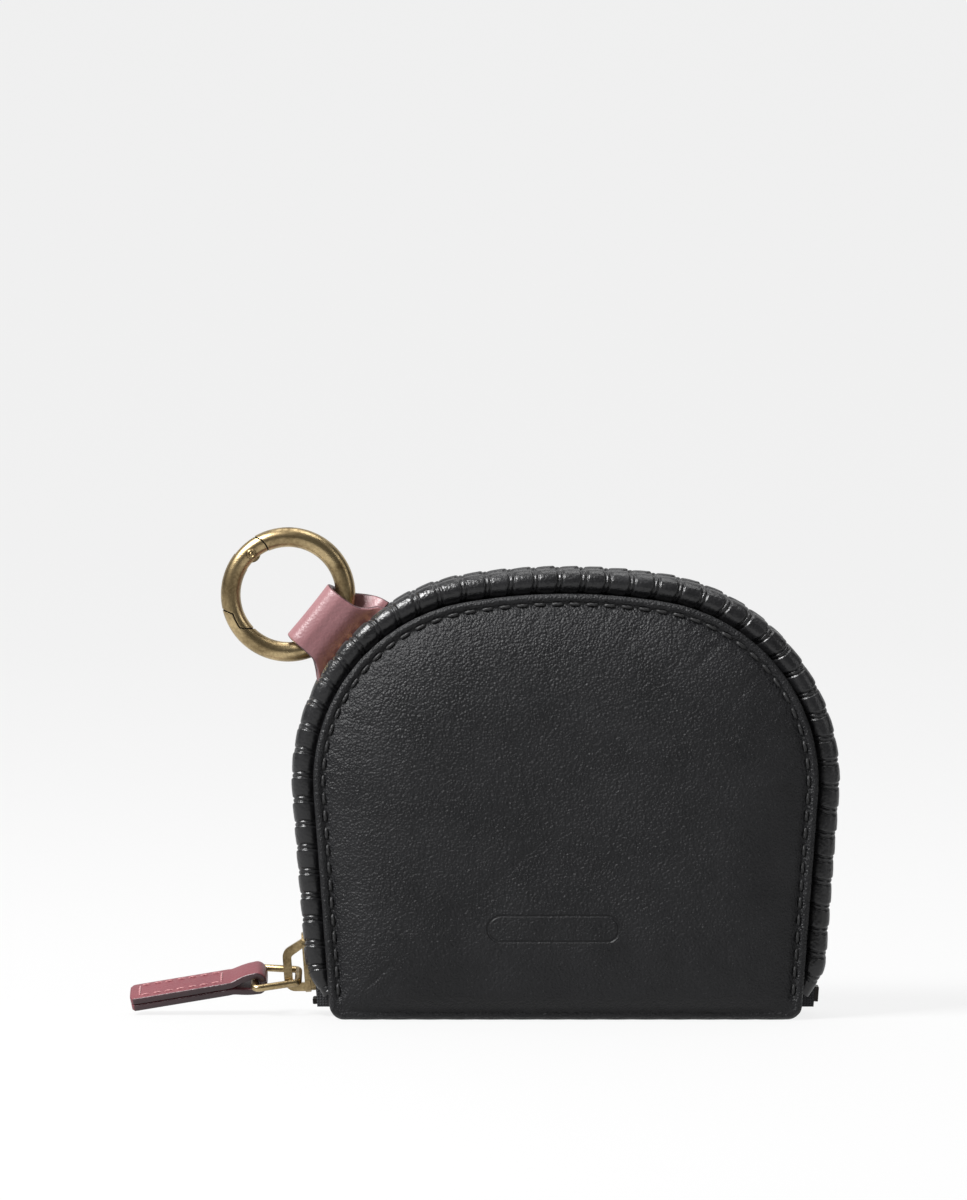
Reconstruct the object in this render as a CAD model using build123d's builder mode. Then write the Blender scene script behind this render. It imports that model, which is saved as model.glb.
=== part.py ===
from build123d import *

import os
from math import acos, cos, degrees, hypot, radians, sin, tan

# Zip-around coin purse, in millimetres. It stands on its spine: X runs to the right, the
# front faces -Y, Z is up, and the origin is the centre of the spine's underside.

# Arches. Each is a pair of leaning sides, two shoulder arcs and one flat top arc.
# half width, height of the shoulder centres, shoulder radius, top radius, lean in degrees
PANEL = (50.6, 47.8, 36.5, 120.0, 4.2)
PIPING = (52.5, 48.0, 38.8, 130.0, 4.4)

# Depth of the front half, counted from the middle plane; the back half mirrors it.
PIPING_Y = 6.9
PIPING_R = 2.6
CORD_R = 1.6
FLANGE_IN = 9.6
FLANGE_OUT = 11.2
CROWN = 1.8
CROWN_LOW = 4.6
CROWN_INSET = 3.4
CROWN_SLOPE = 58.0
LEATHER = 1.2
PAD_DEPTH = FLANGE_OUT + CROWN - LEATHER - FLANGE_IN
PAD_INSET = CROWN_INSET + LEATHER
PAD_SLOPE = CROWN_SLOPE / 2
LINING = 0.5
LINING_GAP = 0.05

# Spine and the fold that the front half turns on.
SPINE_T = 1.6
SPINE_HALF = 46.6
SPINE_EDGE_R = 1.4
SPINE_CORNER_R = 1.0
FOLD_Y = -(FLANGE_IN + FLANGE_OUT) / 2
FOLD_Z = 2.7
FOLD_R = (FLANGE_OUT - FLANGE_IN) / 2

# Piping ends: the sides stop here and hook inwards behind the panels.
HOOK_Z = 12.5
HOOK_R = 15.0
HOOK_TURN = 30.0

# Zip chain, on an arch a little outside the piping's centre line.
CHAIN_OFFSET = 0.6
TAPE_T = 0.6
TEETH_HALF = 2.5
TOOTH_T = 2.4
TOOTH_L = 1.0
TOOTH_PITCH = 2.5
TOOTH_REACH = 0.6
TAPE_OUT = 4.2
TAPE_LEG_T = 0.45
TAPE_DEPTH = 3.8
ZIP_FOOT = 2.0
TOP_STOP = (1.2, TOOTH_T, 1.6)
BOTTOM_STOP = (3.0, TOOTH_T, 2 * TEETH_HALF)

# Linings: the rims start where the tape legs end, and both stand a little above the spine.
RIM_OUT = CHAIN_OFFSET - TAPE_DEPTH
RIM_IN = RIM_OUT - LINING
LINING_FOOT = SPINE_T + LINING + 1.2
POCKET_W = 84.0
POCKET_T = 0.6
POCKET_FOOT = LINING_FOOT + 1.0
POCKET_TOP = 52.0
POCKET_CORNER_R = 3.0

# Slider, centred at this height on the left side.
SLIDER_Z = 10.8
SLIDER_L = 12.0
SLIDER_HALF = 3.45
PLATE_GAP = 1.35
PLATE_T = 1.1
PLATE_TOP = PLATE_GAP + PLATE_T
FLANGE_W = 0.7
FLANGE_L = 6.6
TAPE_SLOT = 0.5
WEDGE = (3.4, 2.0)
BRIDGE_W = 2.0
BRIDGE_T = 1.7
BRIDGE_TOP = 6.6
BRIDGE_LOW = -5.8
BRIDGE_HIGH = 4.8

# Pull: wire link and folded leather puller, rolled together about their length.
ROLL = 20.0
LINK_R = 0.72
LINK_NEAR = (-53.85, 0.0, 7.8)
LINK_L = 8.8
LINK_DROP = 3.0
LINK_W_NEAR = 6.0
LINK_W_FAR = 10.2
LINK_CORNER_R = 0.9
PULLER_L = 25.4
PULLER_W = 7.0
PULLER_NECK = 6.0
PULLER_TIP_R = 1.0
PULLER_T = 2.8
PULLER_DROP = 10.4
PULLER_BORE_R = 1.05
PULLER_BULB_R = 2.5
THREAD = (2.0, 0.35, 0.2)
THREAD_ROW = 14.7
THREAD_PITCH = 2.7
THREAD_INSET = 1.2

# Ring and its gate, in the plane of the loop tab.
RING_Y = 4.0
RING_R = 11.6
WIRE_R = 2.0
RING_SHOULDER_DISTANCE = 56.0
RING_BEARING = 139.0
TAB_BEARING = 141.0
PIVOT_ANGLE = 131.7
PIVOT_RADIUS = 11.06
PIVOT_ARC = 3.3
PIN_R = 1.0
LATCH_OUT = 195.3
LATCH_IN = 218.7
LATCH_SPARE = 16.0
GATE_GAP = 0.28
TONGUE_T = 1.2
TONGUE_R = 1.8
TONGUE_ROOT_ANGLE = PIVOT_ANGLE - 17.0
SLOT_GAP = 0.1
PIN_GAP = 0.03
SPRING_LOW = 147.5
SPRING_HIGH = 169.0
SPRING_BORE_R = 0.95
SPRING_R = 0.65
SPRING_WIRE_R = 0.16
SPRING_PITCH = 0.62
SPRING_START = 0.4
SPRING_L = 3.6

# Loop tab: one strip folded round the ring.
TAB_W = 13.3
TAB_T = 1.3
TAB_BORE = 2.3
TAB_FOLD = 4.9
TAB_HINGE = 41.0
TAB_ROOT_W = 22.0
TAB_ROOT = (0.8, 1.2)
TAB_ROOT_AT = (0.75, -0.25)

# Topstitching on the flanges: each stitch's length, width and height.
STITCH_INSET = 2.0
STITCH_FOOT = 5.5
STITCH_PITCH = 3.5
STITCH = (2.3, 0.5, 0.3)


def arch_points(spec, offset, low):
    """Right-hand points of an arch moved outwards by offset, from height low to the top."""
    half, centre_z, shoulder_r, top_r, lean = spec
    centre_x = half - shoulder_r
    radius = shoulder_r + offset
    turn = degrees(acos(centre_x / (top_r - shoulder_r)))
    top_z = centre_z - (top_r - shoulder_r) * sin(radians(turn)) + top_r + offset

    def around(angle):
        a = radians(angle)
        return (centre_x + radius * cos(a), centre_z + radius * sin(a))

    side = around(-lean)
    foot = (side[0] - (side[1] - low) * tan(radians(lean)), low)
    return foot, side, around((turn - lean) / 2), around(turn), (0, top_z)


def flip(point):
    return (-point[0], point[1])


def arch_path(spec, offset, low, hooked=False):
    """The open arch as a wire in the XY plane, from the left foot to the right one."""
    foot, side, shoulder, turn, top = arch_points(spec, offset, low)
    with BuildLine() as path:
        if hooked:
            swing = radians(spec[4] + HOOK_TURN)
            lean = radians(spec[4])
            middle = radians(spec[4] + HOOK_TURN / 2)
            centre = (foot[0] - HOOK_R * cos(lean), foot[1] + HOOK_R * sin(lean))
            bend = (centre[0] + HOOK_R * cos(middle), centre[1] - HOOK_R * sin(middle))
            end = (centre[0] + HOOK_R * cos(swing), centre[1] - HOOK_R * sin(swing))
            ThreePointArc(flip(end), flip(bend), flip(foot))
        Line(flip(foot), flip(side))
        ThreePointArc(flip(side), flip(shoulder), flip(turn))
        ThreePointArc(flip(turn), top, turn)
        ThreePointArc(turn, shoulder, side)
        Line(side, foot)
        if hooked:
            ThreePointArc(foot, bend, end)
    return path.wire()


def arch_face(spec, offset, low):
    """The area under an arch, closed by a straight line at its feet."""
    foot, side, shoulder, turn, top = arch_points(spec, offset, low)
    with BuildSketch() as area:
        with BuildLine():
            Line(flip(foot), flip(side))
            ThreePointArc(flip(side), flip(shoulder), flip(turn))
            ThreePointArc(flip(turn), top, turn)
            ThreePointArc(turn, shoulder, side)
            Line(side, foot)
            Line(foot, flip(foot))
        make_face()
    return area.sketch


def front_plane(depth):
    """The upright plane at y = -depth, seen from the front."""
    return Plane.XZ.offset(depth)


def along(path, position, depth):
    """A plane at a length along a front-view wire: x along it, z towards the back."""
    point = path.position_at(position, position_mode=PositionMode.LENGTH)
    way = path.tangent_at(position, position_mode=PositionMode.LENGTH)
    return Plane(
        origin=(point.X, -depth, point.Y),
        x_dir=(way.X, 0, way.Y),
        z_dir=(0, 1, 0),
    )


def save(builder, label):
    builder.part.label = label
    export_step(builder.part, f"parts/{label}.step")


def to_back(part):
    """The matching part of the back half."""
    return mirror(part, about=Plane.XZ)


os.makedirs("parts", exist_ok=True)

# Cover panels: a flat leather flange with a crowned middle, hollow behind for the padding.

def cover(bottom):
    with BuildPart() as panel:
        with BuildSketch(front_plane(FLANGE_IN)):
            add(arch_face(PANEL, 0, bottom))
        extrude(amount=FLANGE_OUT - FLANGE_IN)
        with BuildSketch(front_plane(FLANGE_OUT)):
            add(arch_face(PANEL, -CROWN_INSET, CROWN_LOW))
        extrude(amount=CROWN, taper=CROWN_SLOPE)
        with BuildSketch(front_plane(FLANGE_IN)):
            add(arch_face(PANEL, -PAD_INSET, CROWN_LOW + LEATHER))
        extrude(amount=PAD_DEPTH, taper=PAD_SLOPE, mode=Mode.SUBTRACT)
    return panel.part


with BuildPart() as front_cover:
    add(cover(FOLD_Z))
    with Locations((0, FOLD_Y, FOLD_Z)):
        Cylinder(FOLD_R, 2 * SPINE_HALF, rotation=(0, 90, 0))
save(front_cover, "front_cover")

with BuildPart() as back_cover:
    add(to_back(cover(SPINE_T)))
save(back_cover, "back_cover")

with BuildPart() as front_padding:
    with BuildSketch(front_plane(FLANGE_IN)):
        add(arch_face(PANEL, -PAD_INSET, CROWN_LOW + LEATHER))
    extrude(amount=PAD_DEPTH, taper=PAD_SLOPE)
save(front_padding, "front_padding")

with BuildPart() as back_padding:
    add(to_back(front_padding.part))
save(back_padding, "back_padding")

# Spine: the flat strip that the purse stands on, with its long edges rolled.
with BuildPart() as spine:
    with Locations((0, 0, SPINE_T / 2)):
        Box(2 * SPINE_HALF, 2 * FLANGE_OUT, SPINE_T)
    fillet(spine.edges().filter_by(Axis.X).group_by(Axis.Z)[0], SPINE_EDGE_R)
    fillet(spine.edges().filter_by(Axis.Z), SPINE_CORNER_R)
save(spine, "spine")

with BuildPart() as spine_lining:
    with Locations((0, 0, SPINE_T + LINING / 2)):
        Box(2 * SPINE_HALF - 4, 2 * (FLANGE_IN - 0.6), LINING)
save(spine_lining, "spine_lining")

# Flat slip pocket sewn on the back lining.
with BuildPart() as slip_pocket:
    with BuildSketch(front_plane(-(FLANGE_IN - LINING))):
        with Locations((0, (POCKET_FOOT + POCKET_TOP) / 2)):
            RectangleRounded(POCKET_W, POCKET_TOP - POCKET_FOOT, POCKET_CORNER_R)
    extrude(amount=POCKET_T)
save(slip_pocket, "slip_pocket")

# Piping: a cord inside a wrapped leather sleeve, hooked in at both ends.
piping_path = arch_path(PIPING, 0, HOOK_Z, hooked=True)


def piping(radius, bore):
    with BuildPart() as tube:
        with BuildLine() as route:
            add(front_plane(PIPING_Y).location * piping_path)
        with BuildSketch(Plane(route.wire() @ 0, z_dir=route.wire() % 0)):
            Circle(radius)
            if bore:
                Circle(bore, mode=Mode.SUBTRACT)
        sweep()
    return tube.part


for name, radius, bore in (
    ("piping_cord", CORD_R, 0),
    ("piping_wrap", PIPING_R, CORD_R),
):
    with BuildPart() as front_tube:
        add(piping(radius, bore))
    save(front_tube, f"front_{name}")
    with BuildPart() as back_tube:
        add(to_back(front_tube.part))
    save(back_tube, f"back_{name}")

# Linings: a flat sheet behind each padding, with a rim that runs out to the zip tape.


def lining_tray():
    with BuildPart() as tray:
        with BuildSketch(front_plane(FLANGE_IN - LINING)):
            add(arch_face(PIPING, RIM_OUT, LINING_FOOT))
        extrude(amount=LINING)
        with BuildSketch(front_plane(TAPE_OUT - TAPE_LEG_T)):
            add(arch_face(PIPING, RIM_OUT, LINING_FOOT))
            add(arch_face(PIPING, RIM_IN, LINING_FOOT), mode=Mode.SUBTRACT)
        extrude(amount=FLANGE_IN - TAPE_OUT + TAPE_LEG_T)
        add(piping(PIPING_R + LINING_GAP, 0), mode=Mode.SUBTRACT)
    return tray.part


with BuildPart() as front_lining:
    add(lining_tray())
save(front_lining, "front_lining")

with BuildPart() as back_lining:
    add(to_back(lining_tray()))
save(back_lining, "back_lining")

# Zip tapes: an outer strip beside the teeth and a leg that runs in along the piping.
with BuildPart() as front_tape:
    with BuildSketch(front_plane(TEETH_HALF)):
        add(arch_face(PIPING, CHAIN_OFFSET + TAPE_T / 2, ZIP_FOOT))
        add(arch_face(PIPING, CHAIN_OFFSET - TAPE_T / 2, ZIP_FOOT), mode=Mode.SUBTRACT)
    extrude(amount=TAPE_OUT - TEETH_HALF)
    with BuildSketch(front_plane(TAPE_OUT - TAPE_LEG_T)):
        add(arch_face(PIPING, CHAIN_OFFSET, ZIP_FOOT))
        add(arch_face(PIPING, CHAIN_OFFSET - TAPE_DEPTH, ZIP_FOOT), mode=Mode.SUBTRACT)
    extrude(amount=TAPE_LEG_T)
save(front_tape, "front_zip_tape")

with BuildPart() as back_tape:
    add(to_back(front_tape.part))
save(back_tape, "back_zip_tape")

# Zip teeth: two rows that interlock, each half a pitch behind the other.
chain = arch_path(PIPING, CHAIN_OFFSET, ZIP_FOOT)
TEETH_START = SLIDER_Z - ZIP_FOOT - 1.4
TEETH_END = chain.length - 5.0
count = int((TEETH_END - TEETH_START) / TOOTH_PITCH)
tooth_w = TEETH_HALF + TOOTH_REACH


def teeth(shift, side):
    """One row: side is -1 for the front row and 1 for the back row."""
    middle = side * (TEETH_HALF - tooth_w / 2)
    places = [
        along(chain, TEETH_START + shift + n * TOOTH_PITCH, -middle)
        for n in range(count)
    ]
    with BuildPart() as row:
        with Locations(*places):
            Box(TOOTH_L, TOOTH_T, tooth_w)
    return row.part


with BuildPart() as front_teeth:
    add(teeth(0, -1))
save(front_teeth, "front_zip_teeth")

with BuildPart() as back_teeth:
    add(teeth(TOOTH_PITCH / 2, 1))
save(back_teeth, "back_zip_teeth")

# Stops: one on each tape under the slider, and one across both at the right-hand end.
for name, side in (("front_top_stop", -1), ("back_top_stop", 1)):
    with BuildPart() as stop:
        with Locations(along(chain, 1.0, -side * (TEETH_HALF - TOP_STOP[2] / 2))):
            Box(*TOP_STOP)
    save(stop, name)

with BuildPart() as bottom_stop:
    with Locations(along(chain, chain.length - 2.4, 0)):
        Box(*BOTTOM_STOP)
save(bottom_stop, "bottom_stop")

# Topstitching: short threads that lie on each flange.
stitch_path = arch_path(PANEL, -STITCH_INSET, STITCH_FOOT)
stitches = int(stitch_path.length / STITCH_PITCH)
stitch_places = [
    along(stitch_path, (n + 0.5) * STITCH_PITCH, FLANGE_OUT + STITCH[2] / 2)
    for n in range(stitches)
]
with BuildPart() as front_stitching:
    with Locations(*stitch_places):
        Box(*STITCH)
save(front_stitching, "front_stitching")

with BuildPart() as back_stitching:
    add(to_back(front_stitching.part))
save(back_stitching, "back_stitching")

# Slider. Its own axes: x up along the left side, y towards the back, z outwards.
lean = radians(PIPING[4])
foot, side, *_ = arch_points(PIPING, CHAIN_OFFSET, ZIP_FOOT)
slider_x = -(side[0] - (side[1] - SLIDER_Z) * tan(lean))
slider_up = Vector(-sin(lean), 0, cos(lean))
slider_out = Vector(-cos(lean), 0, -sin(lean))
slider_plane = Plane((slider_x, 0, SLIDER_Z), x_dir=slider_up, z_dir=slider_out)

with BuildPart() as slider_body:
    for level in (PLATE_GAP, -PLATE_GAP - PLATE_T):
        with BuildSketch(slider_plane.offset(level)):
            RectangleRounded(SLIDER_L, 2 * SLIDER_HALF, 2.4)
        extrude(amount=PLATE_T)
    for level in (TAPE_SLOT, -PLATE_GAP):
        with BuildSketch(slider_plane.offset(level)):
            with GridLocations(0, 2 * SLIDER_HALF - FLANGE_W, 1, 2):
                Rectangle(FLANGE_L, FLANGE_W)
        extrude(amount=PLATE_GAP - TAPE_SLOT)
    with BuildSketch(slider_plane.offset(-PLATE_GAP)):
        with Locations(((WEDGE[0] - SLIDER_L) / 2 + 0.2, 0)):
            SlotOverall(*WEDGE)
    extrude(amount=2 * PLATE_GAP)
save(slider_body, "slider_body")

# Bridge: the arched band on the outer plate that the link hangs in.
bridge_plane = Plane((slider_x, 0, SLIDER_Z), x_dir=slider_up, z_dir=(0, -1, 0))
with BuildPart() as slider_bridge:
    with BuildSketch(bridge_plane.offset(-BRIDGE_W / 2)):
        with BuildLine():
            FilletPolyline(
                (BRIDGE_LOW, PLATE_TOP),
                (BRIDGE_LOW + 0.3, BRIDGE_TOP),
                (BRIDGE_HIGH - 2.2, BRIDGE_TOP),
                (BRIDGE_HIGH, PLATE_TOP),
                radius=2.2,
            )
            Line((BRIDGE_LOW, PLATE_TOP), (BRIDGE_HIGH, PLATE_TOP))
        make_face()
        with BuildLine():
            FilletPolyline(
                (BRIDGE_LOW + BRIDGE_T, PLATE_TOP),
                (BRIDGE_LOW + BRIDGE_T + 0.2, BRIDGE_TOP - BRIDGE_T),
                (BRIDGE_HIGH - BRIDGE_T - 1.7, BRIDGE_TOP - BRIDGE_T),
                (BRIDGE_HIGH - BRIDGE_T - 0.2, PLATE_TOP),
                radius=0.9,
            )
            Line((BRIDGE_LOW + BRIDGE_T, PLATE_TOP), (BRIDGE_HIGH - BRIDGE_T - 0.2, PLATE_TOP))
        make_face(mode=Mode.SUBTRACT)
    extrude(amount=BRIDGE_W)
save(slider_bridge, "slider_bridge")

# Pull. Both pieces share one hinge direction, rolled about the pull's length.
roll = radians(ROLL)
hinge_way = Vector(0, cos(roll), sin(roll))
lift = Vector(0, -sin(roll), cos(roll))


def pull_way(drop):
    """The direction that leads left from a hinge and down by drop degrees."""
    return Vector(-1, 0, 0) * cos(radians(drop)) - lift * sin(radians(drop))


link_way = pull_way(LINK_DROP)
link_plane = Plane(LINK_NEAR, x_dir=link_way, z_dir=link_way.cross(hinge_way))
far_bar = Vector(*LINK_NEAR) + link_way * LINK_L

with BuildPart() as pull_link:
    with BuildLine(link_plane) as loop:
        FilletPolyline(
            (0, -LINK_W_NEAR / 2),
            (LINK_L, -LINK_W_FAR / 2),
            (LINK_L, LINK_W_FAR / 2),
            (0, LINK_W_NEAR / 2),
            radius=LINK_CORNER_R,
            close=True,
        )
    with BuildSketch(Plane(loop.wire() @ 0, z_dir=loop.wire() % 0)):
        Circle(LINK_R)
    sweep()
save(pull_link, "pull_link")

# Puller: a strip folded round the link's far bar, its two layers glued and sewn together.
puller_way = pull_way(PULLER_DROP)
puller_plane = Plane(far_bar, x_dir=puller_way, z_dir=hinge_way)
with BuildPart() as puller_leather:
    with BuildSketch(puller_plane.offset(-PULLER_W / 2)):
        Circle(PULLER_BULB_R)
        with BuildLine():
            Polyline(
                (0, PULLER_BULB_R),
                (PULLER_NECK, PULLER_T / 2),
                (PULLER_L, PULLER_T / 2),
                (PULLER_L, -PULLER_T / 2),
                (PULLER_NECK, -PULLER_T / 2),
                (0, -PULLER_BULB_R),
                close=True,
            )
        make_face()
        Circle(PULLER_BORE_R, mode=Mode.SUBTRACT)
    extrude(amount=PULLER_W)
    tip = puller_leather.edges().sort_by(Axis(far_bar, puller_way))[-4:]
    fillet(tip.filter_by(Plane(far_bar, z_dir=hinge_way), reverse=True), PULLER_TIP_R)
save(puller_leather, "puller_leather")

thread_plane = Plane(far_bar, x_dir=puller_way, z_dir=puller_way.cross(hinge_way))
with BuildPart() as puller_stitching:
    for level in (PULLER_T / 2, -PULLER_T / 2 - THREAD[2]):
        with BuildSketch(thread_plane.offset(level)):
            with Locations((THREAD_ROW, 0)):
                with GridLocations(THREAD_PITCH, PULLER_W - 2 * THREAD_INSET, 6, 2):
                    Rectangle(THREAD[0], THREAD[1])
        extrude(amount=THREAD[2])
save(puller_stitching, "puller_stitching")

# Ring: a round wire ring split into a fixed body and a hinged gate that opens inwards.
shoulder_x = -(PIPING[0] - PIPING[2])
bearing = radians(RING_BEARING)
ring_x = shoulder_x + RING_SHOULDER_DISTANCE * cos(bearing)
ring_z = PIPING[1] + RING_SHOULDER_DISTANCE * sin(bearing)
ring_centre = Vector(ring_x, RING_Y, ring_z)
ring_plane = Plane(ring_centre, x_dir=(1, 0, 0), z_dir=(0, -1, 0))


def polar(radius, angle):
    return (radius * cos(radians(angle)), radius * sin(radians(angle)))


pivot = polar(PIVOT_RADIUS, PIVOT_ANGLE)


def ring_torus():
    with BuildPart() as torus:
        with Locations(ring_plane):
            Torus(RING_R, WIRE_R)
    return torus.part


def latch_reach(radius, angle):
    """Distance from the pivot to a point of the ring, where a step of the latch crosses it."""
    x, y = polar(radius, angle)
    return hypot(x - pivot[0], y - pivot[1])


def gate_zone(gap):
    """The slab of the ring that belongs to the gate, grown by gap. Its steps turn about the pivot."""
    inner, outer = RING_R - WIRE_R - 1, RING_R + WIRE_R + 1
    with BuildPart() as zone:
        for low, high, latch in (
            (RING_R, outer, LATCH_OUT),
            (inner, RING_R + gap, LATCH_IN),
        ):
            end = latch + LATCH_SPARE
            middle = (PIVOT_ANGLE + end) / 2
            side = RING_R + (WIRE_R / 2 if latch == LATCH_OUT else -WIRE_R / 2)
            with BuildSketch(ring_plane.offset(-WIRE_R - 1)):
                with BuildLine():
                    Line(polar(low, PIVOT_ANGLE), polar(high, PIVOT_ANGLE))
                    ThreePointArc(
                        polar(high, PIVOT_ANGLE), polar(high, middle), polar(high, end)
                    )
                    Line(polar(high, end), polar(low, end))
                    ThreePointArc(
                        polar(low, end), polar(low, middle), polar(low, PIVOT_ANGLE)
                    )
                make_face()
                with Locations(pivot):
                    Circle(latch_reach(side, latch) + gap, mode=Mode.INTERSECT)
            extrude(amount=2 * WIRE_R + 2)
        with BuildSketch(ring_plane.offset(-WIRE_R - 1)):
            with Locations(pivot):
                Circle(PIVOT_ARC + gap)
        extrude(amount=2 * WIRE_R + 2)
    return zone.part


def pivot_disc(radius, thickness):
    with BuildPart() as disc:
        with BuildSketch(ring_plane.offset(-thickness / 2)):
            with Locations(pivot):
                Circle(radius)
        extrude(amount=thickness)
    return disc.part


with BuildPart() as tongue_root:
    with BuildSketch(ring_plane.offset(-TONGUE_T / 2)):
        with Locations(polar(RING_R, TONGUE_ROOT_ANGLE)):
            Rectangle(2.2, 4.0, rotation=TONGUE_ROOT_ANGLE)
    extrude(amount=TONGUE_T)

with BuildPart() as ring_body:
    add(ring_torus())
    add(gate_zone(GATE_GAP), mode=Mode.SUBTRACT)
    add(pivot_disc(TONGUE_R, TONGUE_T))
    add(tongue_root.part)
    add(pivot_disc(PIN_R, 2 * WIRE_R + 2), mode=Mode.SUBTRACT)
save(ring_body, "ring_body")

with BuildPart() as gate_pin:
    add(pivot_disc(PIN_R, 2 * WIRE_R + 0.2))
save(gate_pin, "gate_pin")

# The gate: slotted over the tongue, and bored for the spring that pushes it shut.
spring_start = ring_plane.from_local_coords((*polar(RING_R, SPRING_LOW), 0))
spring_end = ring_plane.from_local_coords((*polar(RING_R, SPRING_HIGH), 0))
spring_way = spring_end - spring_start
spring_plane = Plane(spring_start, z_dir=spring_way)

with BuildPart() as ring_gate:
    add(ring_torus())
    add(gate_zone(0), mode=Mode.INTERSECT)
    add(pivot_disc(PIVOT_ARC + SLOT_GAP, TONGUE_T + 2 * SLOT_GAP), mode=Mode.SUBTRACT)
    add(pivot_disc(PIN_R + PIN_GAP, 2 * WIRE_R + 2), mode=Mode.SUBTRACT)
    with BuildSketch(spring_plane):
        Circle(SPRING_BORE_R)
    extrude(amount=spring_way.length, mode=Mode.SUBTRACT)
save(ring_gate, "ring_gate")

spring_line = Helix(pitch=SPRING_PITCH, height=SPRING_L, radius=SPRING_R)
with BuildPart() as gate_spring:
    with BuildLine() as coil:
        add(spring_plane.offset(SPRING_START).location * spring_line)
    with BuildSketch(Plane(coil.wire() @ 0, z_dir=coil.wire() % 0)):
        Circle(SPRING_WIRE_R)
    sweep()
save(gate_spring, "gate_spring")

# Loop tab. Its own axes: x from the ring's centre towards the purse, y towards the back.
inward = Vector(-cos(radians(TAB_BEARING)), 0, -sin(radians(TAB_BEARING)))
tab_across = inward.cross(Vector(0, 1, 0))
tab_plane = Plane(ring_centre, x_dir=inward, z_dir=tab_across)
outer = TAB_BORE + TAB_T
fold_x = TAB_FOLD + outer
wire_x = RING_R
root_x = RING_SHOULDER_DISTANCE - TAB_HINGE
with BuildPart() as ring_tab:
    with BuildSketch(tab_plane.offset(-TAB_W / 2)):
        for reach, mode in ((outer, Mode.ADD), (TAB_BORE, Mode.SUBTRACT)):
            with Locations((fold_x, 0), (wire_x, 0)):
                Circle(reach, mode=mode)
            with Locations(((fold_x + wire_x) / 2, 0)):
                Rectangle(wire_x - fold_x, 2 * reach, mode=mode)
    extrude(amount=TAB_W)
save(ring_tab, "ring_tab")

with BuildPart() as ring_tab_root:
    with BuildSketch(tab_plane.offset(-TAB_ROOT_W / 2)):
        with Locations((root_x + TAB_ROOT_AT[0], TAB_ROOT_AT[1])):
            Rectangle(*TAB_ROOT)
    extrude(amount=TAB_ROOT_W)
save(ring_tab_root, "ring_tab_root")
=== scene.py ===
import math

import bmesh
import bpy
import numpy as np
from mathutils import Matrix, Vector, noise


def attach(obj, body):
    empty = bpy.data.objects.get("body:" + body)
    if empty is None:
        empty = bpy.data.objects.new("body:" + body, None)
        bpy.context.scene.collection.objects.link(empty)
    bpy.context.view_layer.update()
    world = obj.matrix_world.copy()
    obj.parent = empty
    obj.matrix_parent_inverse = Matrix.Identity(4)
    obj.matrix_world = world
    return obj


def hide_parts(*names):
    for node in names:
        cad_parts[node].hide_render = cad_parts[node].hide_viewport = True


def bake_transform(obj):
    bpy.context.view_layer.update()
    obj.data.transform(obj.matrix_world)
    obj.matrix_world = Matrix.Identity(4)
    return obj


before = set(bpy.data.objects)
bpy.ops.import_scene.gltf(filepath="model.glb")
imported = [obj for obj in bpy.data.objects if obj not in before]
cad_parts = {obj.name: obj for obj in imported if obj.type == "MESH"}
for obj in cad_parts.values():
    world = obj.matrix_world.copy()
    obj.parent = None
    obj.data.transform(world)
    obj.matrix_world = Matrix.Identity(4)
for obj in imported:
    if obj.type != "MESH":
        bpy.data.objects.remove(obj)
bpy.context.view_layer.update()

# Looks of the zip-around coin purse. Shapes are worked out in millimetres and stored in
# metres. X runs to the right, the front faces -Y and Z is up.
MM = 0.001

# Sampling of outlines: steps along arcs and lines, and how far a tangent reaches.
ARC_STEP = 0.1
LINE_STEP = 0.2
TANGENT_REACH = 0.05
NEAREST_BATCH = 2000
TINY = 1e-9

# Arches: half width, shoulder height, shoulder radius, top radius, lean in degrees.
PANEL = (50.6, 47.8, 36.5, 120.0, 4.2)
PIPING = (52.5, 48.0, 38.8, 130.0, 4.4)

# Panels, as depths from the middle plane.
PANEL_BACK = 9.6
PANEL_FACE = 11.2
PANEL_CORNER = 3.0
SPINE_HALF = 45.0
PANEL_STEP = 0.62
CROWN = 2.9
CROWN_RISE = 3.5
CROWN_START = 2.7
STITCH_INSET = 2.0
STITCH_FOOT = 4.4
STITCHES = 64
THREAD_L = 2.5
THREAD_R = 0.34
FOLD_CUT = 4.4
BACK_ROUND = 0.35
BACK_RIM = 2.0
THREAD_LIFT = 0.1
THREAD_DIVE = 0.42

# The padding's push on a panel: cloth settings, frames simulated and the most it may move.
PAD_PRESSURE = 4.0
CLOTH_QUALITY = 4
CLOTH_MASS = 0.1
CLOTH_STIFFNESS = 8
CLOTH_BENDING = 0.2
HELD_MARGIN = 0.6
SWELL_FRAMES = 20
SWELL_CAP = 1.2

# Panel relief. Pairs are a height and a width.
FOOT_START = 1.8
FOOT_RISE = 2.8
DOME = 0.5
DOME_SPAN = (4, 30)
GROOVE = (0.34, 0.42)
DIMPLE = (0.16, 0.5)
PUCKER = (0.2, 0.45)
PUCKER_INSIDE = 1.25
PUCKER_OUTSIDE = 1.0
PUCKER_FADE = 0.45
LIP = (0.14, 0.4)
LIP_AT = 0.75
SIDE_CORNER = 0.75
BOTTOM_CORNER = 1.3
BOTTOM_FADE = 2.0
PANEL_MIDDLE = np.array([0.0, 40.0])

# Insets of the panel's rows of points: over its edge, and from there to its middle.
EDGE_INSETS = (0, 0.12, 0.3, 0.5, 0.75, 1.0, 1.25, 1.5, 1.7, 1.9, 2.1, 2.3, 2.55)
FACE_STEPS = (0.35, 0.7, 1.05, 1.4, 1.8, 2.2, 2.7, 3.2, 3.8, 4.5, 5.3, 6.2, 7.2, 8.4, 9.8,
              11.5, 13.5, 16, 19, 22, 25, 28, 31, 34, 37)
FACE_REACH = 38.5

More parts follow.
